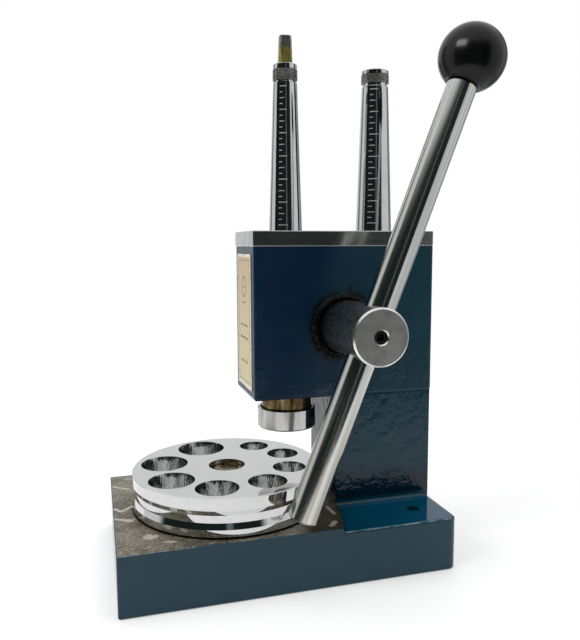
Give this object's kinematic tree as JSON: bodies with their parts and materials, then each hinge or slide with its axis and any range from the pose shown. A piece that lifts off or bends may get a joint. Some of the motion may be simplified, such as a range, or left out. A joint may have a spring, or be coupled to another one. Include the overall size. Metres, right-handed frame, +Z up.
{
  "type": "ring stretching press",
  "caption": "Bench press with a side lever and rack driven rams that expands rings on two graduated mandrels and reduces them in a turning die plate.",
  "frame": {"origin": "centre of the base's underside, on the bench", "axes": "+Z up, -Y to the front where the die plate is, +X to the lever side"},
  "size_m": [0.1397, 0.205, 0.3026],
  "materials": {
    "blue_paint": "gloss enamel over a rough casting",
    "ground_steel": "ground",
    "black_screw": "black oxide",
    "gold_foil": "printed satin foil",
    "black_bush": "greased",
    "bronze": "turned",
    "oiled_steel": "greased",
    "shaft_steel": "turned, dark mottled side",
    "chrome": "polished",
    "black_knob": "gloss",
    "spring_wire": "drawn wire"
  },
  "bodies": {
    "frame": {"frame_casting": "blue_paint", "top_plate": "ground_steel", "top_plate_screws": "black_screw", "name_plate": "gold_foil", "shaft_bush_right": "black_bush", "shaft_bush_left": "bronze", "centre_post": "oiled_steel", "front_mandrel_band": "spring_wire", "rear_mandrel_band": "spring_wire", "front_foot_spring": "spring_wire", "rear_foot_spring": "spring_wire"},
    "pinion": {"pinion_shaft": "shaft_steel", "shaft_end_washer": "ground_steel", "shaft_end_screw": "black_screw", "lever": "chrome", "lever_set_screw": "black_screw", "ball_knob": "black_knob", "ball_knob_insert": "bronze"},
    "front_ram": {"front_ram": "oiled_steel", "press_cap": "ground_steel", "press_cap_screw": "black_screw", "front_wedge_pin": "oiled_steel"},
    "rear_ram": {"rear_ram": "oiled_steel", "rear_wedge_pin": "oiled_steel"},
    "die": {"die_plate": "chrome"},
    "front_segment_1": {"front_mandrel_segment_1": "chrome"},
    "front_segment_2": {"front_mandrel_segment_2": "chrome"},
    "front_segment_3": {"front_mandrel_segment_3": "chrome"},
    "front_segment_4": {"front_mandrel_segment_4": "chrome"},
    "rear_segment_1": {"rear_mandrel_segment_1": "chrome"},
    "rear_segment_2": {"rear_mandrel_segment_2": "chrome"},
    "rear_segment_3": {"rear_mandrel_segment_3": "chrome"},
    "rear_segment_4": {"rear_mandrel_segment_4": "chrome"}
  },
  "joints": [
    {"name": "lever_turn", "type": "hinge", "parent": "frame", "child": "pinion", "pos_m": [0, 0.038, 0.13765], "axis": [1, 0, 0], "range_deg": [-17.91, 75.2]},
    {"name": "front_ram_slide", "type": "slide", "parent": "frame", "child": "front_ram", "axis": [0, 0, 1], "range_m": [-0.0212, 0.0052]},
    {"name": "rear_ram_slide", "type": "slide", "parent": "frame", "child": "rear_ram", "axis": [0, 0, 1], "range_m": [-0.0052, 0.0212]},
    {"name": "front_segment_1_slide", "type": "slide", "parent": "frame", "child": "front_segment_1", "axis": [0.1392, 0.9903, 0], "range_m": [-0.00069, 0.00018], "deforming": ["front_mandrel_band", "front_foot_spring"]},
    {"name": "front_segment_2_slide", "type": "slide", "parent": "frame", "child": "front_segment_2", "axis": [-0.9903, 0.1392, 0], "range_m": [-0.00069, 0.00018]},
    {"name": "front_segment_3_slide", "type": "slide", "parent": "frame", "child": "front_segment_3", "axis": [-0.1392, -0.9903, 0], "range_m": [-0.00069, 0.00018]},
    {"name": "front_segment_4_slide", "type": "slide", "parent": "frame", "child": "front_segment_4", "axis": [0.9903, -0.1392, 0], "range_m": [-0.00069, 0.00018]},
    {"name": "rear_segment_1_slide", "type": "slide", "parent": "frame", "child": "rear_segment_1", "axis": [0.1392, 0.9903, 0], "range_m": [-0.00018, 0.00069], "deforming": ["rear_mandrel_band", "rear_foot_spring"]},
    {"name": "rear_segment_2_slide", "type": "slide", "parent": "frame", "child": "rear_segment_2", "axis": [-0.9903, 0.1392, 0], "range_m": [-0.00018, 0.00069]},
    {"name": "rear_segment_3_slide", "type": "slide", "parent": "frame", "child": "rear_segment_3", "axis": [-0.1392, -0.9903, 0], "range_m": [-0.00018, 0.00069]},
    {"name": "rear_segment_4_slide", "type": "slide", "parent": "frame", "child": "rear_segment_4", "axis": [0.9903, -0.1392, 0], "range_m": [-0.00018, 0.00069]},
    {"name": "die_turn", "type": "hinge", "parent": "frame", "child": "die", "pos_m": [0, -0.0272, 0.0326], "axis": [0, 0, 1], "continuous": true}
  ],
  "couplings": [
    {"joint": "front_ram_slide", "follows": "lever_turn", "m_per_rad": -0.016},
    {"joint": "rear_ram_slide", "follows": "lever_turn", "m_per_rad": 0.016},
    {"joint": "front_segment_1_slide", "follows": "lever_turn", "m_per_rad": -0.000512},
    {"joint": "front_segment_2_slide", "follows": "lever_turn", "m_per_rad": -0.000512},
    {"joint": "front_segment_3_slide", "follows": "lever_turn", "m_per_rad": -0.000512},
    {"joint": "front_segment_4_slide", "follows": "lever_turn", "m_per_rad": -0.000512},
    {"joint": "rear_segment_1_slide", "follows": "lever_turn", "m_per_rad": 0.000512},
    {"joint": "rear_segment_2_slide", "follows": "lever_turn", "m_per_rad": 0.000512},
    {"joint": "rear_segment_3_slide", "follows": "lever_turn", "m_per_rad": 0.000512},
    {"joint": "rear_segment_4_slide", "follows": "lever_turn", "m_per_rad": 0.000512}
  ]
}
